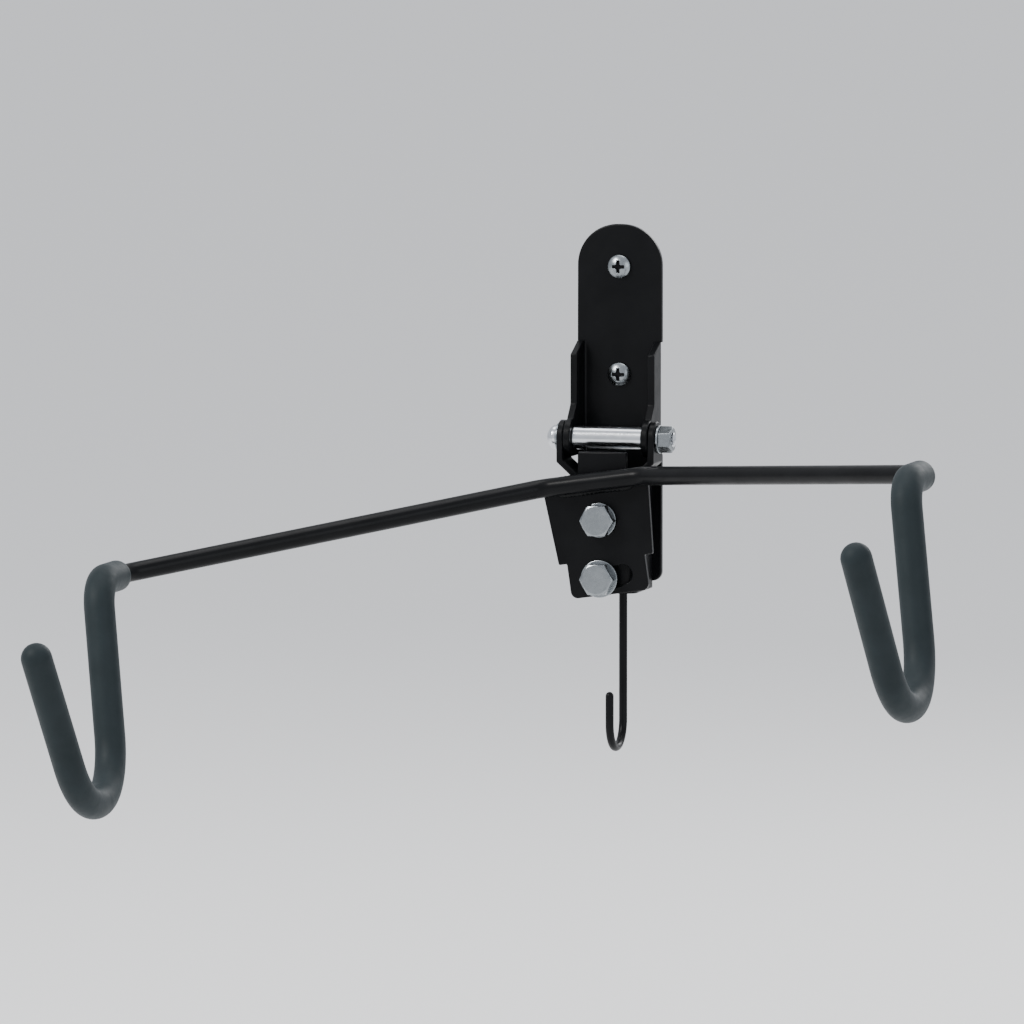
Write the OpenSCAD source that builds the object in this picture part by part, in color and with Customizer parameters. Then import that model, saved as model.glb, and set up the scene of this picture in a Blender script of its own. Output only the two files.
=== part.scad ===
// Fold-up bicycle wall rack: a bent rod with two sleeved hooks on a tilting plate,
// carried by a bracket that swings up on a hinge bolt across a plate screwed to the wall.
// Frame: X to the right, Y into the wall, Z up. The origin lies on the wall face, on the
// axis of the middle wall screw. Modules draw level with the hinge axis, and from_hinge()
// moves them into the frame. "out" below is a distance from the wall towards the room.

/* [Wall bracket] */
// Outer width of the wall bracket
wall_w = 37; // [36:0.5:42]
// Sheet thickness of all three pressed steel parts
sheet = 3; // [2.5:0.1:3.2]
// Top of the wall bracket above the hinge axis
wall_top = 90; // [84:1:110]
// Bottom of the wall bracket below the hinge axis
wall_bottom = 62; // [56:1:66]
// Radius of the two top corners
top_corner_r = 17.5; // [6:0.5:17.5]
// Height at which the side flanges start, above the hinge axis
flange_top = 40; // [34:1:50]
// How far the side flanges stand out from the wall
flange_out = 15; // [10:1:17]
// Spacing of the three wall screws
screw_pitch = 46; // [40:1:50]
// Height of the middle wall screw above the hinge axis
screw_mid_z = 26; // [20:1:30]

/* [Hinge] */
// Distance of the hinge axis from the wall
hinge_out = 19.5; // [18:0.5:22]
// Diameter of the hinge bolt
hinge_bolt_d = 6; // [5:0.5:6]
// Outer diameter of the spacer tube between the ears
spacer_d = 10; // [8.5:0.5:11]
// Radius of the rounded ears round the hinge bolt
ear_r = 7.5; // [7:0.5:8]

/* [Swing bracket] */
// Outer width of the channel
channel_w = 29.6; // [28:0.2:30]
// Distance of the channel's front face from the wall
channel_out = 31.5; // [30:0.5:34]
// Bottom of the channel below the hinge axis
channel_bottom = 65; // [62:1:68]
// Height of the pivot bolt, below the hinge axis
pivot_drop = 33.5; // [32:0.5:36]
// Distance from the pivot bolt down to the lock bolt
lock_drop = 25; // [24:0.5:27]

/* [Tilting arms] */
// Tilt of the arms at rest, right side up, in degrees
tilt = 8.25; // [-12:0.25:12]
// Diameter of the bent rod
rod_d = 8; // [7.5:0.5:9]
// Height of the rod above the pivot bolt
rod_rise = 16.5; // [15:0.5:18]
// Half the length of the straight that is welded to the plate
weld_half = 22.5; // [21:0.5:24]
// Sideways distance from the centre to each hook
hook_x = 174.6; // [160:1:190]
// How far the arms have fallen where they meet the hooks
arm_fall = 7.6; // [4:0.2:10]
// Distance of the arm's elbow from the wall
elbow_out = 156; // [140:1:170]
// Radius of the bends in the rod, on its centre line
bend_r = 14; // [12:1:16]

/* [Hooks] */
// Straight run from the elbow to the back leg
hook_run = 35; // [32:1:40]
// Lean of the back leg, away from the wall as it falls, in degrees
back_lean = 11; // [6:1:14]
// Lean of the front leg, away from the wall as it rises, in degrees
front_lean = 25.2; // [18:0.2:30]
// Radius of the cradle on the rod's centre line
cradle_r = 31.2; // [28:0.2:34]
// Height of the cradle's lowest point below the elbow
cradle_drop = 88.6; // [84:0.2:94]
// Depth of the closed tip below the elbow
tip_drop = 23; // [16:1:30]
// Outer diameter of the rubber sleeves
sleeve_d = 13; // [12.5:0.5:15]

/* [Helmet hook] */
// Diameter of the helmet hook's wire
wire_d = 3.5; // [3:0.5:4]
// Bottom of the helmet hook below the hinge axis
helmet_drop = 134; // [126:1:150]
// Radius of the helmet hook's bend, on its centre line
helmet_r = 11; // [9:1:13]

/* [Hidden] */
$fn = 64;

black = [0.07, 0.07, 0.075];
rubber = [0.17, 0.19, 0.2];
zinc = [0.78, 0.79, 0.8];

slip = 0.15;          // gap between sheets that move over each other
fold_in = 1.2;        // inner radius where sheet is folded
hole_play = 0.07;     // radial play of a bolt in a hole it turns in
ring_play = 0.1;      // radial gap between a ring or tube and what passes through it
nut_play = 0.02;      // radial gap between a nut and its bolt
bite = 0.5;           // how far a shape reaches into the one it is joined to
eps = 1;              // overrun of a cutting tool
dome_rim = 0.35;      // share of a domed head's height that is straight rim
hex_face = 2.1;       // width of a hexagon over the radius of its turned face
hinge_z = -screw_mid_z;
ring_step = 15;       // largest turn between two rings of a bend, in degrees
bar_sides = 14;
wire_sides = 10;

fold_out = fold_in + sheet;

// wall bracket
ear_out = wall_w / 2;
ear_in = ear_out - sheet;
sweep_top = 14;       // where the flange edge starts to sweep out to the ear
ear_foot = ear_r + 0.5;
foot_corner_r = 4;
flange_fall = 4.9;    // how far the flange's top edge falls towards the room

// wall screws: 4.8 mm tapping screws with domed heads
screw_r = 2.4;
screw_neck_r = 2.6;
screw_head_r = 5;
screw_head_h = 3.2;
screw_in_wall = 32;
screw_tip = 5;
screw_point_r = 0.3;
screw_hole_r = 2.7;
recess_l = 5.4;
recess_w = 1.4;
recess_h = 1.9;
recess_r = 1.3;

// hinge stack, outwards from the middle
fork_in = ear_out + slip;
fork_thin = 0.25;     // the ears are pressed a little thinner than the sheet
fork_out = fork_in + sheet - fork_thin;
hinge_washer_h = 1;
hinge_washer_r = 6;
hinge_head_r = 5.2;
hinge_head_h = 4.6;
hinge_nut_af = 10;
hinge_nut_h = 5.6;
hinge_tail = 1.2;

// swing bracket
channel_half = channel_w / 2;
channel_back = sheet + slip;
web_top = -5;
fork_front = hinge_out + ear_r;
fork_back = hinge_out - ear_r;
joggle_top = -ear_foot - 1;
joggle_foot = joggle_top - 7;

// pivot and lock bolts: 8 mm hexagon bolts
bolt_r = 4;
bolt_af = 13;
bolt_head_h = 5.3;
bolt_washer_r = 8;
bolt_washer_h = 1.6;
pivot_washer_r = 7.4;
bolt_nut_h = 6.5;
bolt_tail = 2;
pivot_z = -pivot_drop;
lock_z = pivot_z - lock_drop;

// arm plate, in the tilted frame whose origin is on the pivot axis at the wall
plate_back = channel_out + slip;
plate_front = plate_back + sheet;
plate_top = rod_rise + 1.5;
plate_top_half = 23.5;
shoulder_half = 20.8;
shoulder_z = -17;
tongue_half = 17.2;
tongue_z = -32;
plate_corner_r = 3;
tilt_travel = 15;     // each way from level
slot_half_w = bolt_r + 0.3;
slot_end_r = slot_half_w - ring_play;
slot_reach = 2 * lock_drop;
bolt_face = plate_front + slip;

// bent rod, in the tilted frame: [x, -out, z]
rod_r = rod_d / 2;
rod_out = plate_front + rod_r;
elbow_z = rod_rise - arm_fall;
weld_length = 34;

// hook, in its own plane: [out from the elbow, up from the elbow]
back_dir = [sin(back_lean), -cos(back_lean)];
front_dir = [sin(front_lean), cos(front_lean)];
cradle_z = cradle_r - cradle_drop;
cradle_x = hook_run + (cradle_r - cradle_z * back_dir[0]) / -back_dir[1];
leg_foot = [cradle_x, cradle_z] + cradle_r * [back_dir[1], -back_dir[0]];
front_foot = [cradle_x, cradle_z] + cradle_r * [front_dir[1], -front_dir[0]];
tip = front_foot + (-tip_drop - front_foot[1]) / front_dir[1] * front_dir;
cradle_turn = 180 - back_lean - front_lean;
cradle_corner = leg_foot + cradle_r * tan(cradle_turn / 2) * back_dir;
sleeve_start = 8;
sleeve_r = sleeve_d / 2;
sleeve_bore = rod_r + ring_play;

// helmet hook
wire_r = wire_d / 2;
wire_out = sheet + wire_r;
eye_r = screw_neck_r + wire_r + 0.2;
eye_z = screw_mid_z - screw_pitch;
stem_x = 2.2;
stem_bend_r = 6;
helmet_tip_rise = 12;

// ---- vectors and bent bars ----

function unit(v) = v / norm(v);
function across(u, v) = unit(v - (u * v) * u);
function turned(v, n, a) = v * cos(a) + cross(n, v) * sin(a) + n * (n * v) * (1 - cos(a));

// A bent bar is a list of rings [centre, side, direction, radius]. These are the rings of
// the bend at each corner p[i] and beyond, for a bar that arrives with its side at "side".
function rings_from(p, radii, r, i, side) =
    let (u = unit(p[i] - p[i - 1]))
    i == len(p) - 1 ? [[p[i], side, u, r]] :
    let (
        v = unit(p[i + 1] - p[i]),
        n = unit(cross(u, v)),
        a = acos(u * v),
        start = p[i] - radii[i] * tan(a / 2) * u,
        c = start + radii[i] * across(u, v),
        steps = ceil(a / ring_step),
        first = norm(start - p[i - 1]) < 0.01 || follows_bend(p, radii, i) ? 1 : 0
    )
    concat(
        [for (k = [first : steps])
            let (t = a * k / steps)
            [c + turned(start - c, n, t), turned(side, n, t), turned(u, n, t), r]],
        rings_from(p, radii, r, i + 1, turned(side, n, a)));

// Does the bend at corner i start where the one before it ends?
function follows_bend(p, radii, i) =
    i > 1 && abs(norm(p[i] - p[i - 1]) - corner_run(p, radii, i) - corner_run(p, radii, i - 1))
        < 0.01;
function corner_run(p, radii, i) =
    radii[i] * tan(acos(unit(p[i] - p[i - 1]) * unit(p[i + 1] - p[i])) / 2);

// All the rings of a round bar of radius r through the points p
function bar_rings(p, radii, r, side = [0, 0.6, 0.8]) =
    let (u = unit(p[1] - p[0]), ex = across(u, side))
    concat([[p[0], ex, u, r]], rings_from(p, radii, r, 1, ex));

// Rings of a round nose of radius r on the ring e
function nose_rings(e, r) =
    [for (a = [25, 50, 72]) [e[0] + r * sin(a) * e[2], e[1], e[2], r * cos(a)]];

function backwards(list) = [for (i = [len(list) - 1 : -1 : 0]) list[i]];

function ring_points(g, sides) =
    [for (j = [0 : sides - 1])
        let (t = 360 * j / sides)
        g[0] + g[3] * (cos(t) * g[1] + sin(t) * cross(g[2], g[1]))];

// Solid skin over a list of rings, closed flat at both ends
module skin(rings, sides) {
    last = len(rings) - 1;
    points = [for (g = rings) each ring_points(g, sides)];
    walls = [for (i = [0 : last - 1]) for (j = [0 : sides - 1])
        let (k = (j + 1) % sides)
        [i * sides + j, (i + 1) * sides + j, (i + 1) * sides + k, i * sides + k]];
    start_cap = [for (j = [0 : sides - 1]) j];
    end_cap = [for (j = [sides - 1 : -1 : 0]) last * sides + j];
    polyhedron(points, concat([start_cap], walls, [end_cap]));
}

// ---- small shared shapes ----

// Bar along X from x0 to x1, centred on the hinge axis, with the children as cross-section
module on_hinge(x0, x1) {
    translate([x0, -hinge_out, 0])
        rotate([0, 90, 0])
            linear_extrude(height = x1 - x0)
                children();
}

// Bar along Y between two distances from the wall, at height z
module out_from_wall(z, out0, out1) {
    translate([0, -out0, z])
        rotate([90, 0, 0])
            linear_extrude(height = out1 - out0)
                children();
}

// Sheet lying across X from x0 to x1; its outline is drawn in [out from the wall, Z]
module side_sheet(x0, x1) {
    translate([x0, 0, 0])
        rotate([90, 0, -90])
            mirror([0, 0, 1])
                linear_extrude(height = x1 - x0)
                    children();
}

module both_sides() {
    children();
    mirror([1, 0, 0]) children();
}

module from_hinge() {
    translate([0, 0, hinge_z]) children();
}

module ring(r_out, r_in) {
    difference() {
        circle(r_out);
        circle(r_in);
    }
}

// Hexagon of width af across its flats
module hexagon(af) {
    circle(af / sqrt(3), $fn = 6);
}

// Hexagon prism along +Z with the corners of its far face turned off
module hex_head(af, h) {
    face_r = af / hex_face;
    intersection() {
        linear_extrude(height = h) hexagon(af);
        rotate_extrude()
            polygon([[0, 0], [af, 0], [af, h - (af - face_r) * tan(30)], [face_r, h], [0, h]]);
    }
}

// Domed head along +Z, flat below
module domed_head(r, h) {
    rim = h * dome_rim;
    ball = (r * r + (h - rim) * (h - rim)) / (2 * (h - rim));
    intersection() {
        cylinder(r = r, h = h);
        translate([0, 0, h - ball]) sphere(ball);
    }
}

// ---- wall bracket and what is fixed to it ----

module wall_plate_outline() {
    union() {
        translate([-ear_out, -wall_bottom + foot_corner_r])
            square([wall_w, wall_top + wall_bottom - foot_corner_r - top_corner_r]);
        translate([-ear_out + top_corner_r, 0])
            square([wall_w - 2 * top_corner_r, wall_top]);
        for (s = [-1, 1])
            translate([s * (ear_out - top_corner_r), wall_top - top_corner_r])
                circle(top_corner_r);
        for (s = [-1, 1])
            translate([s * (ear_out - foot_corner_r), -wall_bottom + foot_corner_r])
                circle(foot_corner_r);
        translate([-ear_out + foot_corner_r, -wall_bottom])
            square([wall_w - 2 * foot_corner_r, foot_corner_r + eps]);
    }
}

module wall_ear_outline() {
    difference() {
        union() {
            polygon([[0, -ear_foot], [hinge_out, -ear_foot], [hinge_out + ear_foot, 0],
                [flange_out, sweep_top], [flange_out, flange_top - flange_fall],
                [sheet + fold_in, flange_top], [0, flange_top]]);
            translate([hinge_out, 0]) circle(ear_foot);
        }
        translate([hinge_out, 0]) circle(hinge_bolt_d / 2 + hole_play);
    }
}

// Upright bar along the flange, with the part of a square outside or inside a fold
module along_flange(x, out, size, r) {
    translate([x, -out, -ear_foot])
        linear_extrude(height = ear_foot + flange_top)
            difference() {
                square(size);
                circle(r);
            }
}

module wall_bracket() {
    color(black)
    from_hinge()
        difference() {
            union() {
                out_from_wall(0, 0, sheet) wall_plate_outline();
                both_sides() {
                    side_sheet(ear_in, ear_out) wall_ear_outline();
                    along_flange(ear_in - fold_in, sheet + fold_in, fold_in + bite, fold_in);
                }
            }
            both_sides()
                along_flange(ear_out - fold_out, fold_out, fold_out + eps, fold_out);
            for (i = [-1 : 1])
                out_from_wall(screw_mid_z + i * screw_pitch, -eps, sheet + eps)
                    circle(screw_hole_r);
        }
}

module recess_outline() {
    for (a = [0, 90])
        rotate(a) square([recess_l, recess_w], center = true);
    circle(recess_r);
}

// Tapping screw with its head's underside at distance seat from the wall
module wall_screw(z, seat) {
    color(zinc)
    from_hinge()
        translate([0, 0, z])
            rotate([90, 0, 0])
                difference() {
                    union() {
                        translate([0, 0, seat]) domed_head(screw_head_r, screw_head_h);
                        cylinder(r = screw_neck_r, h = seat + bite);
                        translate([0, 0, -screw_in_wall + screw_tip])
                            cylinder(r = screw_r, h = screw_in_wall - screw_tip + bite);
                        translate([0, 0, -screw_in_wall])
                            cylinder(r1 = screw_point_r, r2 = screw_r, h = screw_tip);
                    }
                    translate([0, 0, seat + screw_head_h - recess_h])
                        linear_extrude(height = recess_h + eps)
                            recess_outline();
                }
}

module wall_screw_top() wall_screw(screw_mid_z + screw_pitch, sheet);
module wall_screw_middle() wall_screw(screw_mid_z, sheet);
module wall_screw_bottom() wall_screw(eye_z, sheet + wire_d);

// Wire with an open eye under the lowest screw and a hook turned out at the bottom
module helmet_hook() {
    foot_z = -helmet_drop + wire_r;
    tip_out = wire_out + 2 * helmet_r;
    points = [[-eye_r, -wire_out, eye_z - 1], [-eye_r, -wire_out, eye_z + eye_r],
        [eye_r, -wire_out, eye_z + eye_r], [eye_r, -wire_out, eye_z - 4],
        [stem_x, -wire_out, eye_z - 13], [stem_x, -wire_out, foot_z],
        [stem_x, -tip_out, foot_z], [stem_x, -tip_out, foot_z + helmet_r + helmet_tip_rise]];
    bends = [0, eye_r, eye_r, stem_bend_r, stem_bend_r, helmet_r, helmet_r, 0];
    rings = bar_rings(points, bends, wire_r, [0, 1, 0]);
    color(black)
    from_hinge()
        skin(concat(rings, nose_rings(rings[len(rings) - 1], wire_r)), wire_sides);
}

module hinge_bolt() {
    seat = fork_out + slip + hinge_washer_h;
    color(zinc)
    from_hinge()
        union() {
            on_hinge(-seat, seat + hinge_nut_h + hinge_tail) circle(hinge_bolt_d / 2);
            translate([-seat, -hinge_out, 0])
                rotate([0, -90, 0])
                    domed_head(hinge_head_r, hinge_head_h);
        }
}

module hinge_spacer() {
    color(zinc)
    from_hinge()
        on_hinge(-ear_in, ear_in) ring(spacer_d / 2, hinge_bolt_d / 2 + ring_play);
}

module hinge_washer() {
    from_hinge()
        on_hinge(fork_out + slip, fork_out + slip + hinge_washer_h)
            ring(hinge_washer_r, hinge_bolt_d / 2 + ring_play);
}

module hinge_washer_left() color(zinc) mirror([1, 0, 0]) hinge_washer();
module hinge_washer_right() color(zinc) hinge_washer();

module hinge_nut() {
    color(zinc)
    from_hinge()
        translate([fork_out + slip + hinge_washer_h, -hinge_out, 0])
            rotate([0, 90, 0])
                difference() {
                    hex_head(hinge_nut_af, hinge_nut_h);
                    translate([0, 0, -eps])
                        cylinder(r = hinge_bolt_d / 2 + nut_play, h = hinge_nut_h + 2 * eps);
                }
}

// ---- swing bracket and its bolts ----

module fork_ear_outline() {
    difference() {
        union() {
            translate([fork_back, joggle_top]) square([2 * ear_r, -joggle_top]);
            translate([hinge_out, 0]) circle(ear_r);
        }
        translate([hinge_out, 0]) circle(hinge_bolt_d / 2 + hole_play);
    }
}

// Section across the joggle, in [X, Z], from the ear in to the channel's side
module joggle_outline() {
    side_in = channel_half - sheet;
    polygon([[fork_in, joggle_top], [fork_out, joggle_top], [fork_out, joggle_top - 1],
        [channel_half, joggle_foot], [channel_half, joggle_foot - eps],
        [side_in, joggle_foot - eps], [side_in, joggle_foot + 1]]);
}

// Block across X from -half to half between two distances from the wall, in [X, Y], with
// its two front corners rounded
module rounded_block(half, out0, out1, r) {
    translate([-half, -out1 + r]) square([2 * half, out1 - r - out0]);
    translate([-half + r, -out1]) square([2 * (half - r), r + eps]);
    for (s = [-1, 1])
        translate([s * (half - r), -out1 + r]) circle(r);
}

// The folded channel below the joggle, and the tongue of its web above
module channel() {
    translate([0, 0, -channel_bottom])
        linear_extrude(height = channel_bottom + joggle_foot)
            difference() {
                rounded_block(channel_half, channel_back, channel_out, fold_out);
                rounded_block(channel_half - sheet, channel_back - eps, channel_out - sheet,
                    fold_in);
            }
    translate([-channel_half + fold_out, -channel_out, joggle_foot - eps])
        cube([channel_w - 2 * fold_out, sheet, web_top - joggle_foot + eps]);
}

module joggle() {
    translate([0, -fork_back, 0])
        rotate([90, 0, 0])
            linear_extrude(height = fork_front - fork_back)
                joggle_outline();
}

module swing_bracket() {
    color(black)
    from_hinge()
        difference() {
            union() {
                channel();
                both_sides() {
                    joggle();
                    side_sheet(fork_in, fork_out) fork_ear_outline();
                }
            }
            for (z = [pivot_z, lock_z])
                out_from_wall(z, channel_out - sheet - eps, channel_out + eps)
                    circle(bolt_r + hole_play);
        }
}

// Hexagon bolt with a shank of 8 mm; its head sits on a washer in front of the plate
module hex_bolt(z) {
    seat = bolt_face + bolt_washer_h;
    tail = channel_out - sheet - bolt_washer_h - bolt_nut_h - bolt_tail;
    color(zinc)
    from_hinge()
        union() {
            translate([0, -seat, z])
                rotate([90, 0, 0])
                    hex_head(bolt_af, bolt_head_h);
            out_from_wall(z, tail, seat + bite) circle(bolt_r);
        }
}

module front_washer(z, r) {
    color(zinc)
    from_hinge()
        out_from_wall(z, bolt_face, bolt_face + bolt_washer_h) ring(r, bolt_r + ring_play);
}

module back_washer(z) {
    seat = channel_out - sheet;
    color(zinc)
    from_hinge()
        out_from_wall(z, seat - bolt_washer_h, seat) ring(bolt_washer_r, bolt_r + ring_play);
}

module back_nut(z) {
    color(zinc)
    from_hinge()
        translate([0, -(channel_out - sheet - bolt_washer_h), z])
            rotate([-90, 0, 0])
                difference() {
                    hex_head(bolt_af, bolt_nut_h);
                    translate([0, 0, -eps])
                        cylinder(r = bolt_r + nut_play, h = bolt_nut_h + 2 * eps);
                }
}

module pivot_bolt() hex_bolt(pivot_z);
module pivot_washer() front_washer(pivot_z, pivot_washer_r);
module pivot_back_washer() back_washer(pivot_z);
module pivot_nut() back_nut(pivot_z);
module lock_bolt() hex_bolt(lock_z);
module lock_washer() front_washer(lock_z, bolt_washer_r);
module lock_back_washer() back_washer(lock_z);
module lock_nut() back_nut(lock_z);

// ---- tilting arms ----

// Turns its children by the rest tilt about the pivot bolt
module tilted() {
    translate([0, 0, hinge_z + pivot_z])
        rotate([0, -tilt, 0])
            children();
}

module arm_plate_outline() {
    r = plate_corner_r;
    union() {
        polygon([[-plate_top_half, plate_top], [-shoulder_half, shoulder_z],
            [-tongue_half, shoulder_z], [-tongue_half, tongue_z + r],
            [-tongue_half + r, tongue_z], [tongue_half - r, tongue_z],
            [tongue_half, tongue_z + r], [tongue_half, shoulder_z],
            [shoulder_half, shoulder_z], [plate_top_half, plate_top]]);
        for (s = [-1, 1])
            translate([s * (tongue_half - r), tongue_z + r]) circle(r);
    }
}

// Curved slot for the lock bolt, centred on the pivot
module arc_slot() {
    intersection() {
        ring(lock_drop + slot_half_w, lock_drop - slot_half_w);
        polygon([[0, 0], slot_reach * [-sin(tilt_travel), -cos(tilt_travel)],
            slot_reach * [sin(tilt_travel), -cos(tilt_travel)]]);
    }
    for (s = [-1, 1])
        rotate(s * tilt_travel)
            translate([0, -lock_drop])
                circle(slot_end_r);
}

module arm_plate() {
    color(black)
    tilted()
        out_from_wall(0, plate_back, plate_front)
            difference() {
                arm_plate_outline();
                circle(bolt_r + hole_play);
                arc_slot();
            }
}

// A point of the right-hand hook's plane, as [x, y, z] in the tilted frame
function hook_point(p) = [hook_x, -elbow_out - p[0], elbow_z + p[1]];
function mirrored(p) = [-p[0], p[1], p[2]];

rod_right = [[weld_half, -rod_out, rod_rise], hook_point([0, 0]), hook_point([hook_run, 0]),
    hook_point(cradle_corner), hook_point(tip)];
rod_points = concat([for (i = [len(rod_right) - 1 : -1 : 0]) mirrored(rod_right[i])],
    rod_right);
rod_radii = [0, cradle_r, bend_r, bend_r, bend_r, bend_r, bend_r, bend_r, cradle_r, 0];

module arm_rod() {
    color(black)
    tilted()
        skin(bar_rings(rod_points, rod_radii, rod_r), bar_sides);
}

// Weld bead along the back of the rod. Its outline is drawn in [out from the plate, Z
// above the rod's axis], and the rod is cut away from it.
module weld_bead(outline) {
    tilted()
        translate([0, -plate_front, rod_rise])
            side_sheet(-weld_length / 2, weld_length / 2)
                difference() {
                    polygon(outline);
                    translate([rod_r, 0]) circle(rod_r);
                }
}

// The upper bead lies on the plate's top edge, the lower one in the corner under the rod
module weld_upper()
    color(black)
    weld_bead([[-2, 1.5], [-1.7, 2.7], [0.1, 3.9], [1.4, 3.2], [0.7, 1.5]]);
module weld_lower()
    color(black)
    weld_bead([[0, -1.2], [0, -5.4], [1, -4.9], [2, -3.7], [1, -1.2]]);

// Rubber tube over the hook of the rod, closed by a round nose
module sleeve() {
    points = [hook_point([sleeve_start, 0]), hook_point([hook_run, 0]),
        hook_point(cradle_corner), hook_point(tip)];
    radii = [0, bend_r, cradle_r, 0];
    outside = bar_rings(points, radii, sleeve_r);
    inside = bar_rings(points, radii, sleeve_bore);
    skin(concat(backwards(inside), outside, nose_rings(outside[len(outside) - 1], sleeve_r)),
        bar_sides);
}

module sleeve_right() color(rubber) tilted() sleeve();
module sleeve_left() color(rubber) tilted() mirror([1, 0, 0]) sleeve();

wall_bracket();
wall_screw_top();
wall_screw_middle();
wall_screw_bottom();
helmet_hook();
hinge_bolt();
hinge_spacer();
hinge_washer_left();
hinge_washer_right();
hinge_nut();
swing_bracket();
pivot_bolt();
pivot_washer();
pivot_back_washer();
pivot_nut();
lock_bolt();
lock_washer();
lock_back_washer();
lock_nut();
arm_plate();
arm_rod();
weld_upper();
weld_lower();
sleeve_left();
sleeve_right();
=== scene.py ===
import math

import bmesh
import bpy
from mathutils import Matrix, Vector


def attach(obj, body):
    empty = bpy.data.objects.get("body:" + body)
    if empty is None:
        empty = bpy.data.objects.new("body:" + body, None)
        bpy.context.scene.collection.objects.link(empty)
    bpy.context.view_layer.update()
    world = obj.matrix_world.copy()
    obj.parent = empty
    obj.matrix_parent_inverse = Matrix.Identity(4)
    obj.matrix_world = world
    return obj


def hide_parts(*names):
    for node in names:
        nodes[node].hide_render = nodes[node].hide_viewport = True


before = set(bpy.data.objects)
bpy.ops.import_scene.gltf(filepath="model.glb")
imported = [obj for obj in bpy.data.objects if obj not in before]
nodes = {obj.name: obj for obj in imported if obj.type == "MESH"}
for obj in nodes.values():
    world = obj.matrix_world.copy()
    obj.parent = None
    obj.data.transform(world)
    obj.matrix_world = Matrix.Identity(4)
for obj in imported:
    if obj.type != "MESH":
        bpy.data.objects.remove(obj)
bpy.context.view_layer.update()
scene = bpy.context.scene
MM = 0.001

# ---- places repeated from the CAD source, in millimetres ----
HINGE_Z = -26.0
HINGE_OUT = 19.5
PIVOT_Z = HINGE_Z - 33.5
TILT = math.radians(8.25)
ROD_R = 4.0
SLEEVE_R = 6.5
WIRE_R = 1.75
PLATE_FRONT = 34.65
ROD_RISE = 16.5
ELBOW = (174.6, 156.0, 8.9)
BEND_R = 14.0
CRADLE_R = 31.2
CRADLE_DROP = 88.6
TIP_DROP = 23.0
BACK_LEAN = math.radians(11)
FRONT_LEAN = math.radians(25.2)
WELD_HALF = 22.5
SCREW_PITCH = 46.0
SHEET = 3.0
SCREW_NECK_R = 2.6
HELMET_DROP = 134.0
HELMET_R = 11.0
HELMET_TIP_RISE = 12.0
STEM_X = 2.2
STEM_BEND_R = 6.0
HEAD_H = 3.2
RECESS_H = 1.9
LOCK_DROP = 25.0


def tilted(p):
    """A point of the arms' level frame, in the row frame."""
    x, y, z = p
    c, s = math.cos(TILT), math.sin(TILT)
    return Vector((x * c - z * s, y, x * s + z * c + PIVOT_Z))


# ---- swept bars ----


def rings_along(points, radii, step=3.0):
    """Centres and directions along a line through points with round corners."""
    pts = [Vector(p) for p in points]
    out = [(pts[0], (pts[1] - pts[0]).normalized())]
    for i in range(1, len(pts) - 1):
        u = (pts[i] - pts[i - 1]).normalized()
        v = (pts[i + 1] - pts[i]).normalized()
        angle = u.angle(v)
        if angle < 1e-4:
            continue
        n = u.cross(v).normalized()
        start = pts[i] - u * radii[i] * math.tan(angle / 2)
        centre = start + n.cross(u) * radii[i]
        count = max(2, int(math.degrees(angle) / step))
        for k in range(count + 1):
            t = angle * k / count
            turn = Matrix.Rotation(t, 3, n)
            p = centre + turn @ (start - centre)
            if (p - out[-1][0]).length > 0.02:
                out.append((p, turn @ u))
    out.append((pts[-1], (pts[-1] - pts[-2]).normalized()))
    return out


def split_long(line, longest=6.0):
    """The same line with rings no further apart than longest."""
    out = [line[0]]
    for a, b in zip(line, line[1:]):
        gap = (b[0] - a[0]).length
        parts = max(1, math.ceil(gap / longest))
        for k in range(1, parts + 1):
            t = k / parts
            out.append((a[0].lerp(b[0], t), a[1].lerp(b[1], t).normalized()))
    return out


def carried_sides(line, first):
    """A side vector for each ring, carried along without twist."""
    side = first - line[0][1] * first.dot(line[0][1])
    side.normalize()
    out = []
    for _, d in line:
        side = (side - d * side.dot(d)).normalized()
        out.append(side)
    return out


def skin(name, rings, sides):
    """A closed skin over rings of (centre, side, direction, radius or function of angle)."""
    bm = bmesh.new()
    rows = []
    for c, side, d, r in rings:
        up = d.cross(side)
        row = []
        for j in range(sides):
            t = 2 * math.pi * j / sides
            radius = r(t) if callable(r) else r
            row.append(bm.verts.new((c + (side * math.cos(t) + up * math.sin(t)) * radius) * MM))
        rows.append(row)
    for a, b in zip(rows, rows[1:]):
        for j in range(sides):
            k = (j + 1) % sides
            bm.faces.new((a[j], a[k], b[k], b[j]))
    bm.faces.new(list(reversed(rows[0])))
    bm.faces.new(rows[-1])
    bmesh.ops.recalc_face_normals(bm, faces=bm.faces)
    return from_bmesh(name, bm)


def from_bmesh(name, bm, smooth=True):
    mesh = bpy.data.meshes.new(name)
    bm.to_mesh(mesh)
    bm.free()
    for p in mesh.polygons:
        p.use_smooth = smooth
    obj = bpy.data.objects.new(name, mesh)
    scene.collection.objects.link(obj)
    return obj


def sharpen(obj, degrees=35.0):
    """Smooth shading with the edges above this angle kept crisp."""
    bm = bmesh.new()
    bm.from_mesh(obj.data)
    for e in bm.edges:
        e.smooth = not (len(e.link_faces) == 2 and e.calc_face_angle(0) > math.radians(degrees))
    for f in bm.faces:
        f.smooth = True
    bm.to_mesh(obj.data)
    bm.free()


# ---- pieces made from CAD nodes: edges rounded, flats joined ----


def copy_clean(node, name):
    bm = bmesh.new()
    bm.from_mesh(nodes[node].data)
    bmesh.ops.remove_doubles(bm, verts=bm.verts, dist=2e-6)
    bmesh.ops.dissolve_limit(
        bm, angle_limit=math.radians(0.6), verts=bm.verts, edges=bm.edges
    )
    return bm


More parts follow.
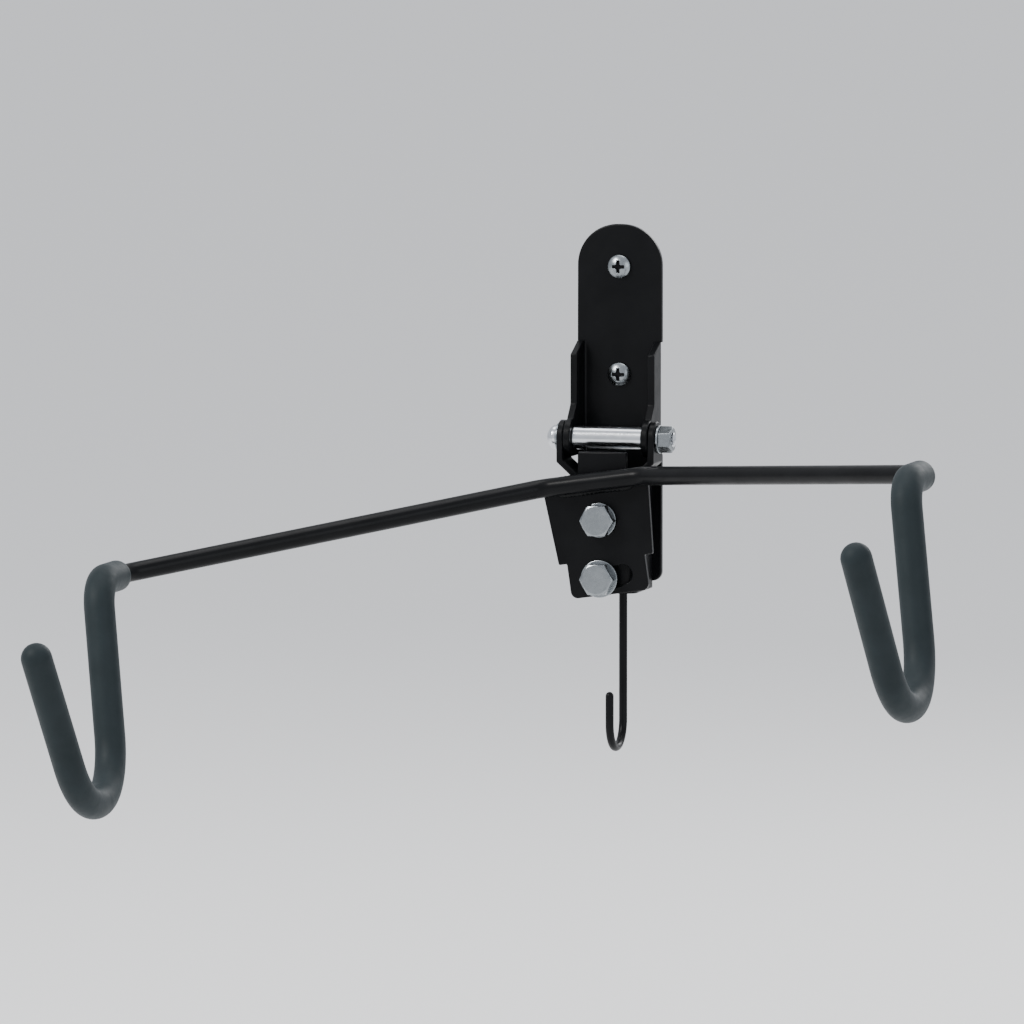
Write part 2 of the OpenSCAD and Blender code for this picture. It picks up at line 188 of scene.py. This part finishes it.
def broken_edges(bm, angle=32, needle=25):
    """Marks the sharp edges, but for faces that end in a needle and edges at a tiny step."""
    mark = bm.edges.layers.float.new("bevel_weight_edge")
    skip = set()
    for f in bm.faces:
        for corner in f.loops:
            if corner.calc_angle() < math.radians(needle):
                skip.update(f.edges if f.calc_perimeter() < 40 * MM else corner.vert.link_edges)
    for e in bm.edges:
        if e.calc_length() < 0.15 * MM:
            skip.update(edge for v in e.verts for edge in v.link_edges)
    for e in bm.edges:
        sharp = len(e.link_faces) == 2 and e.calc_face_angle(0) > math.radians(angle)
        e[mark] = 1.0 if sharp and e not in skip else 0.0


def edge_break(obj, width, segments=3, angle=32, limit="ANGLE"):
    mod = obj.modifiers.new("edge_break", "BEVEL")
    mod.width = width * MM
    mod.segments = segments
    mod.limit_method = limit
    mod.angle_limit = math.radians(angle)
    mod.use_clamp_overlap = False
    mod.miter_outer = "MITER_ARC"
    mod.harden_normals = False


def weighted(obj):
    mod = obj.modifiers.new("normals", "WEIGHTED_NORMAL")
    mod.keep_sharp = True
    mod.weight = 80


def put(obj, body, node, material):
    obj.data.materials.clear()
    obj.data.materials.append(material)
    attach(obj, body)
    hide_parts(node)
    return obj


# ---- materials ----


class Nodes:
    """Short names for building one node material."""

    def __init__(self, name):
        self.mat = bpy.data.materials.new(name)
        self.mat.use_nodes = True
        self.tree = self.mat.node_tree
        self.tree.nodes.clear()
        self.out = self.new("ShaderNodeOutputMaterial")
        self.shader = self.new("ShaderNodeBsdfPrincipled")
        self.link(self.shader, "BSDF", self.out, "Surface")
        self.coord = self.new("ShaderNodeTexCoord")

    def new(self, kind, **values):
        node = self.tree.nodes.new(kind)
        for k, v in values.items():
            setattr(node, k, v)
        return node

    def link(self, a, out, b, into):
        self.tree.links.new(a.outputs[out], b.inputs[into])

    def painted_shade_where(self, ramp, attribute, dark):
        """The ramp's colour, turned to a dark painted shade where the mesh's attribute is 1."""
        mix = self.new("ShaderNodeMix", data_type="RGBA")
        a, b = (s for s in mix.inputs if s.type == "RGBA")
        b.default_value = (*dark, 1)
        self.link(self.new("ShaderNodeAttribute", attribute_name=attribute), "Fac", mix, "Factor")
        self.tree.links.new(ramp.outputs["Color"], a)
        return next(s for s in mix.outputs if s.type == "RGBA")

    def noise(self, scale, detail=2.0, rough=0.5, stretch=None):
        n = self.new("ShaderNodeTexNoise")
        n.inputs["Scale"].default_value = scale
        n.inputs["Detail"].default_value = detail
        n.inputs["Roughness"].default_value = rough
        if stretch:
            m = self.new("ShaderNodeMapping")
            m.inputs["Scale"].default_value = stretch
            self.link(self.coord, "Object", m, "Vector")
            self.link(m, "Vector", n, "Vector")
        else:
            self.link(self.coord, "Object", n, "Vector")
        return n

    def ramp(self, source, out, stops):
        r = self.new("ShaderNodeValToRGB")
        els = r.color_ramp.elements
        while len(els) < len(stops):
            els.new(0.5)
        for e, (pos, col) in zip(els, stops):
            e.position = pos
            e.color = (col, col, col, 1) if isinstance(col, float) else (*col, 1)
        self.link(source, out, r, "Fac")
        return r

    def bump(self, source, out, strength, distance, after=None):
        b = self.new("ShaderNodeBump")
        b.inputs["Strength"].default_value = strength
        b.inputs["Distance"].default_value = distance
        self.link(source, out, b, "Height")
        if after:
            self.link(after, "Normal", b, "Normal")
        return b

    def set(self, **values):
        for k, v in values.items():
            self.shader.inputs[k.replace("_", " ")].default_value = v


def powder_coat():
    m = Nodes("black_powder_coat")
    m.set(Specular_IOR_Level=0.08, Coat_Weight=0.04, Coat_Roughness=0.16)
    cloud = m.noise(38, 3, 0.6)
    col = m.ramp(cloud, "Fac", [(0.3, (0.0020, 0.0022, 0.0026)), (0.72, (0.0044, 0.0047, 0.0054))])
    m.link(col, "Color", m.shader, "Base Color")
    rough = m.ramp(m.noise(120, 4, 0.6), "Fac", [(0.3, 0.30), (0.75, 0.42)])
    m.link(rough, "Color", m.shader, "Roughness")
    peel = m.bump(m.noise(620, 2, 0.5), "Fac", 0.22, 0.00012)
    grain = m.bump(m.noise(2600, 1, 0.5), "Fac", 0.12, 0.00003, peel)
    m.link(grain, "Normal", m.shader, "Normal")
    return m.mat


def rubber():
    m = Nodes("dark_rubber")
    m.set(Specular_IOR_Level=0.12, Sheen_Weight=0.03, Sheen_Roughness=0.45)
    m.shader.inputs["Sheen Tint"].default_value = (0.75, 0.86, 0.9, 1)
    cloud = m.noise(55, 4, 0.6)
    col = m.ramp(cloud, "Fac", [(0.28, (0.0102, 0.0152, 0.0172)), (0.75, (0.0156, 0.0220, 0.0248))])
    m.link(col, "Color", m.shader, "Base Color")
    rough = m.ramp(m.noise(210, 4, 0.6), "Fac", [(0.3, 0.5), (0.75, 0.64)])
    m.link(rough, "Color", m.shader, "Roughness")
    skin_bump = m.bump(m.noise(900, 3, 0.55), "Fac", 0.3, 0.00010)
    pores = m.bump(m.noise(3200, 2, 0.5), "Fac", 0.25, 0.00004, skin_bump)
    m.link(pores, "Normal", m.shader, "Normal")
    return m.mat


def zinc(name, base, rough_lo, rough_hi, stretch):
    m = Nodes(name)
    m.set(Metallic=1.0)
    cloud = m.noise(260, 4, 0.6)
    dark = tuple(c * 0.84 for c in base)
    col = m.ramp(cloud, "Fac", [(0.28, dark), (0.7, base)])
    # Painted shade: faces of the screws' cross recess are turned near-black (0.012), standing in
    # for the shade that falls inside the recess.
    colour = m.painted_shade_where(col, "recess", (0.012, 0.012, 0.013))
    m.tree.links.new(colour, m.shader.inputs["Base Color"])
    rough = m.ramp(m.noise(420, 5, 0.65), "Fac", [(0.3, rough_lo), (0.75, rough_hi)])
    m.link(rough, "Color", m.shader, "Roughness")
    lines = m.bump(m.noise(900, 3, 0.6, stretch), "Fac", 0.1, 0.00005)
    spots = m.bump(m.noise(1500, 2, 0.5), "Fac", 0.08, 0.00004, lines)
    m.link(spots, "Normal", m.shader, "Normal")
    return m.mat


COAT = powder_coat()
RUBBER = rubber()
ZINC = zinc("zinc_plate", (0.25, 0.27, 0.285), 0.2, 0.34, (1, 1, 1))
TURNED = zinc("turned_zinc", (0.60, 0.62, 0.65), 0.16, 0.27, (3.0, 0.25, 0.25))

# ---- arms: one bent rod ----

HOOK_RUN = 35.0
BACK = (math.sin(BACK_LEAN), -math.cos(BACK_LEAN))
FRONT = (math.sin(FRONT_LEAN), math.cos(FRONT_LEAN))
CRADLE_Z = CRADLE_R - CRADLE_DROP
CRADLE_X = HOOK_RUN + (CRADLE_R - CRADLE_Z * BACK[0]) / -BACK[1]
LEG_FOOT = (CRADLE_X + CRADLE_R * BACK[1], CRADLE_Z - CRADLE_R * BACK[0])
FRONT_FOOT = (CRADLE_X + CRADLE_R * FRONT[1], CRADLE_Z - CRADLE_R * FRONT[0])
TIP_RUN = (-TIP_DROP - FRONT_FOOT[1]) / FRONT[1]
TIP = (FRONT_FOOT[0] + TIP_RUN * FRONT[0], FRONT_FOOT[1] + TIP_RUN * FRONT[1])
CORNER_RUN = CRADLE_R * math.tan((math.pi - BACK_LEAN - FRONT_LEAN) / 2)
CORNER = (LEG_FOOT[0] + CORNER_RUN * BACK[0], LEG_FOOT[1] + CORNER_RUN * BACK[1])


def hook_point(side, p):
    return tilted((side * ELBOW[0], -ELBOW[1] - p[0], ELBOW[2] + p[1]))


def hook_line(side, start):
    return [hook_point(side, p) for p in ((start, 0), (HOOK_RUN, 0), CORNER, TIP)]


weld_ends = [tilted((s * WELD_HALF, -(PLATE_FRONT + ROD_R), ROD_RISE)) for s in (-1, 1)]
rod_points = (
    list(reversed(hook_line(-1, 0)))
    + weld_ends
    + hook_line(1, 0)
)
rod_radii = [0, CRADLE_R, BEND_R, BEND_R, BEND_R, BEND_R, BEND_R, BEND_R, CRADLE_R, 0]
rod_line = split_long(rings_along(rod_points, rod_radii))
rod_sides = carried_sides(rod_line, Vector((0, 0.6, 0.8)))
rod = skin(
    "bent_rod",
    [(c, s, d, ROD_R) for (c, d), s in zip(rod_line, rod_sides)],
    40,
)
put(rod, "arms", "arm_rod", COAT)


def sleeve(side, name, node):
    radii = [0, BEND_R, CRADLE_R, 0]
    line = split_long(rings_along(hook_line(side, 8.0), radii, 2.0), 2.5)
    sides = carried_sides(line, Vector((1, 0, 0)))
    rings = []
    bore = ROD_R + 0.1
    for (c, d), s in reversed(list(zip(line, sides))):
        rings.append((c, s, d, bore))
    first, d0 = line[0]
    rings[-1] = (first + d0 * 0.35, sides[0], d0, bore)
    rings.append((first, sides[0], d0, bore + 0.4))
    rings.append((first, sides[0], d0, SLEEVE_R - 0.55))
    rings.append((first + d0 * 0.16, sides[0], d0, SLEEVE_R - 0.17))
    rings.append((first + d0 * 0.55, sides[0], d0, SLEEVE_R))
    for (c, d), s in list(zip(line, sides))[1:]:
        rings.append((c, s, d, SLEEVE_R))
    end, de = line[-1]
    for a in (12, 24, 36, 48, 59, 69, 78, 84):
        t = math.radians(a)
        rings.append((end + de * SLEEVE_R * math.sin(t), sides[-1], de, SLEEVE_R * math.cos(t)))
    obj = skin(name, rings, 48)
    sharpen(obj, 50)
    return put(obj, "arms", node, RUBBER)


sleeve(-1, "rubber_sleeve_left", "sleeve_left")
sleeve(1, "rubber_sleeve_right", "sleeve_right")

# ---- helmet hook: one bent wire ----

EYE_R = SCREW_NECK_R + WIRE_R + 0.2
EYE_Z = -SCREW_PITCH
WIRE_OUT = SHEET + WIRE_R
FOOT_Z = HINGE_Z - HELMET_DROP + WIRE_R
wire_points = [
    (-EYE_R, -WIRE_OUT, EYE_Z - 1),
    (-EYE_R, -WIRE_OUT, EYE_Z + EYE_R),
    (EYE_R, -WIRE_OUT, EYE_Z + EYE_R),
    (EYE_R, -WIRE_OUT, EYE_Z - 4),
    (STEM_X, -WIRE_OUT, EYE_Z - 13),
    (STEM_X, -WIRE_OUT, FOOT_Z),
    (STEM_X, -WIRE_OUT - 2 * HELMET_R, FOOT_Z),
    (STEM_X, -WIRE_OUT - 2 * HELMET_R, FOOT_Z + HELMET_R + HELMET_TIP_RISE),
]
wire_radii = [0, EYE_R, EYE_R, STEM_BEND_R, STEM_BEND_R, HELMET_R, HELMET_R, 0]
wire_line = split_long(rings_along(wire_points, wire_radii, 5.0), 4.0)
wire_sides = carried_sides(wire_line, Vector((0, 1, 0)))
wire_rings = [(c, s, d, WIRE_R) for (c, d), s in zip(wire_line, wire_sides)]
end, de = wire_line[-1]
for a in (20, 40, 58, 74):
    t = math.radians(a)
    wire_rings.append(
        (end + de * WIRE_R * math.sin(t), wire_sides[-1], de, WIRE_R * math.cos(t))
    )
wire = skin("helmet_wire", wire_rings, 24)
sharpen(wire, 50)
put(wire, "wall", "helmet_hook", COAT)

# ---- weld beads with their ripples ----


def weld_bead(name, node, out, rise, half_out, half_z, seed):
    rings = []
    count = 120
    length = 33.0
    for i in range(count + 1):
        x = -length / 2 + length * i / count
        ripple = abs(math.sin(math.pi * x / 1.9 + seed))
        swell = 1 + 0.05 * math.sin(x * 0.41 + seed * 2.1) + 0.03 * math.sin(x * 1.13 + seed)
        ends = min(1.0, math.sqrt(max(0.0, 1 - (abs(x) / (length / 2)) ** 8)) + 0.12)
        f = (0.90 + 0.12 * ripple) * swell * ends

        def radius(t, f=f):
            c, s = math.cos(t), math.sin(t)
            return f * half_out * half_z / math.sqrt((half_z * c) ** 2 + (half_out * s) ** 2)

        c = tilted((x, -(PLATE_FRONT + out), ROD_RISE + rise))
        rings.append((c, Vector((0, -1, 0)), Vector((math.cos(TILT), 0, math.sin(TILT))), radius))
    obj = skin(name, rings, 20)
    sharpen(obj, 60)
    return put(obj, "arms", node, COAT)


weld_bead("weld_bead_upper", "weld_upper", -0.25, 2.35, 1.75, 1.5, 0.4)
weld_bead("weld_bead_lower", "weld_lower", 0.75, -3.5, 1.25, 1.9, 1.7)

# ---- sheet metal ----


def sheet_piece(node, name, body, width=0.55):
    bm = copy_clean(node, name)
    broken_edges(bm)
    obj = from_bmesh(name, bm)
    edge_break(obj, width, limit="WEIGHT")
    sharpen(obj, 40)
    weighted(obj)
    return put(obj, body, node, COAT)


sheet_piece("wall_bracket", "wall_plate", "wall")
sheet_piece("swing_bracket", "swing_channel", "swing")
sheet_piece("arm_plate", "tilting_plate", "arms")

# ---- fasteners ----


def thread(bm, origin, axis, length, crest, core, pitch, tip=0.0, phase=0.0, turns=36):
    """A helical thread along axis from origin, as a closed skin. It narrows over the last tip."""
    d = Vector(axis)
    side = Vector((0, 0, 1)) if abs(d.z) < 0.9 else Vector((1, 0, 0))
    up = d.cross(side)
    rows_per_pitch = 10
    count = int(length / pitch * rows_per_pitch)
    rows = []
    for i in range(count + 1):
        y = length * i / count
        shrink = 1.0 if tip == 0 or y < length - tip else max(0.06, (length - y) / tip) ** 0.9
        row = []
        for j in range(turns):
            t = 2 * math.pi * j / turns
            f = (y / pitch - j / turns + phase) % 1.0
            ridge = max(0.0, 1 - abs(f - 0.5) / 0.34)
            run_in = min(1.0, y / (0.8 * pitch) + 0.05)
            r = (core + (crest - core) * min(1.0, ridge * 1.25) * run_in) * shrink
            out = (side * math.cos(t) + up * math.sin(t)) * r
            row.append(bm.verts.new((Vector(origin) + d * y + out) * MM))
        rows.append(row)
    for a, b in zip(rows, rows[1:]):
        for j in range(turns):
            k = (j + 1) % turns
            bm.faces.new((a[j], a[k], b[k], b[j]))
    bm.faces.new(list(reversed(rows[0])))
    bm.faces.new(rows[-1])


def cut_off(bm, point, normal):
    """Removes what lies on the normal's side of the plane and closes the cut."""
    geom = bm.verts[:] + bm.edges[:] + bm.faces[:]
    bmesh.ops.bisect_plane(
        bm,
        geom=geom,
        dist=1e-7,
        plane_co=Vector(point) * MM,
        plane_no=Vector(normal),
        clear_outer=True,
    )
    rim = [e for e in bm.edges if e.is_boundary]
    if rim:
        bmesh.ops.holes_fill(bm, edges=rim, sides=0)


def fastener(node, name, body, cut=None, width=0.25, material=None, segments=3, threads=()):
    bm = copy_clean(node, name)
    if cut:
        cut_off(bm, *cut)
    obj = from_bmesh(name, bm)
    edge_break(obj, width, segments, 28)
    if threads:
        apply_modifiers(obj)
        bm = bmesh.new()
        bm.from_mesh(obj.data)
        for args in threads:
            thread(bm, **args)
        bmesh.ops.recalc_face_normals(bm, faces=bm.faces)
        bm.to_mesh(obj.data)
        bm.free()
    sharpen(obj, 40)
    weighted(obj)
    return put(obj, body, node, material or ZINC)


def apply_modifiers(obj):
    dg = bpy.context.evaluated_depsgraph_get()
    mesh = bpy.data.meshes.new_from_object(obj.evaluated_get(dg))
    obj.modifiers.clear()
    obj.data = mesh


def mark_recess_painted_shade(obj, z, seat):
    """Marks the walls and floor of the cross recess for painted shade: the material turns these
    faces near-black to stand in for the shade inside the recess.
    """
    mark = obj.data.attributes.new("recess", "FLOAT", "FACE")
    floor_out = seat + HEAD_H - RECESS_H
    for p in obj.data.polygons:
        out = -p.center.y / MM
        near = math.hypot(p.center.x / MM, p.center.z / MM - z) < 2.75
        wall = abs(p.normal.y) < 0.5 and out > floor_out
        mark.data[p.index].value = 1.0 if near and (wall or abs(out - floor_out) < 0.1) else 0.0


for k, (node, z, seat) in enumerate(
    (
        ("wall_screw_top", SCREW_PITCH, SHEET),
        ("wall_screw_middle", 0.0, SHEET),
        ("wall_screw_bottom", -SCREW_PITCH, SHEET + 2 * WIRE_R),
    )
):
    obj = fastener(
        node,
        node.replace("wall_screw", "tapping_screw"),
        "wall",
        cut=((0, 0.4, 0), (0, 1, 0)),
        width=0.22,
        threads=[
            dict(origin=(0, 0.3, z), axis=(0, 1, 0), length=31.7, crest=2.4, core=1.7,
                 pitch=1.8, tip=5.0, phase=0.31 * k)
        ],
    )
    mark_recess_painted_shade(obj, z, seat)

TAIL = 18.4
for node, z in (("pivot_bolt", PIVOT_Z), ("lock_bolt", PIVOT_Z - LOCK_DROP)):
    fastener(
        node,
        node.replace("_bolt", "_hex_bolt"),
        "swing",
        cut=((0, -TAIL - 3.4, 0), (0, 1, 0)),
        width=0.3,
        threads=[
            dict(origin=(0, -TAIL - 3.5, z), axis=(0, 1, 0), length=3.5, crest=4.0, core=3.35,
                 pitch=1.25, tip=0.8)
        ],
    )

fastener(
    "hinge_bolt",
    "hinge_dome_bolt",
    "wall",
    cut=((27.0, 0, 0), (1, 0, 0)),
    width=0.3,
    material=TURNED,
    threads=[
        dict(origin=(26.9, -HINGE_OUT, HINGE_Z), axis=(1, 0, 0), length=2.45, crest=3.0,
             core=2.5, pitch=1.0, tip=0.6)
    ],
)
fastener("hinge_spacer", "bright_spacer", "wall", width=0.35, material=TURNED)
for node in ("hinge_washer_left", "hinge_washer_right"):
    fastener(node, node + "_disc", "wall", width=0.2)
fastener("hinge_nut", "hinge_hex_nut", "wall", width=0.25)
for node in ("pivot_washer", "pivot_back_washer", "lock_washer", "lock_back_washer"):
    fastener(node, node + "_disc", "swing", width=0.28)
for node in ("pivot_nut", "lock_nut"):
    fastener(node, node.replace("_nut", "_hex_nut"), "swing", width=0.28)

# ---- floor, light and camera ----


def plain(name, colour, rough):
    m = Nodes(name)
    m.set(Roughness=rough, Specular_IOR_Level=0.2)
    m.shader.inputs["Base Color"].default_value = (*colour, 1)
    return m.mat


bm = bmesh.new()
bmesh.ops.create_grid(bm, x_segments=1, y_segments=1, size=60)
floor = from_bmesh("floor", bm, smooth=False)
floor.location = (0, 0, -0.42)
floor.data.materials.append(plain("pale_floor", (0.86, 0.86, 0.855), 0.9))

world = bpy.data.worlds.new("studio")
scene.world = world
world.use_nodes = True
world.node_tree.nodes["Background"].inputs["Color"].default_value = (0.93, 0.95, 1.0, 1)
world.node_tree.nodes["Background"].inputs["Strength"].default_value = 1.0


def soft_light(name, place, aim, size, power, colour=(1, 1, 1)):
    data = bpy.data.lights.new(name, "AREA")
    data.shape = "RECTANGLE"
    data.size, data.size_y = size
    data.energy = power
    data.color = colour
    obj = bpy.data.objects.new(name, data)
    scene.collection.objects.link(obj)
    obj.location = place
    obj.rotation_mode = "QUATERNION"
    obj.rotation_quaternion = (Vector(aim) - Vector(place)).to_track_quat("-Z", "Y")
    obj.visible_camera = False
    return obj


AIM = (0.003, -0.13, -0.05)
soft_light("key", (-1.3, -1.5, 1.5), AIM, (0.9, 0.9), 60, (1.0, 0.985, 0.96))
soft_light("fill", (1.9, -1.5, 0.4), AIM, (1.0, 1.4), 9, (0.93, 0.97, 1.0))
soft_light("top", (0.1, 0.1, 1.7), AIM, (1.4, 0.9), 16)
soft_light("back", (0.6, 2.0, 0.9), AIM, (1.4, 1.0), 22)

cam_data = bpy.data.cameras.new("camera")
cam = bpy.data.objects.new("camera", cam_data)
scene.collection.objects.link(cam)
cam.location = (1.435, -5.305, 0.4455)
cam.rotation_mode = "QUATERNION"
cam.rotation_quaternion = (Vector((-0.012, -0.13, -0.048)) - cam.location).to_track_quat("-Z", "Y")
cam_data.sensor_width = 36
cam_data.lens = 455
cam_data.clip_start, cam_data.clip_end = 0.1, 200
scene.camera = cam
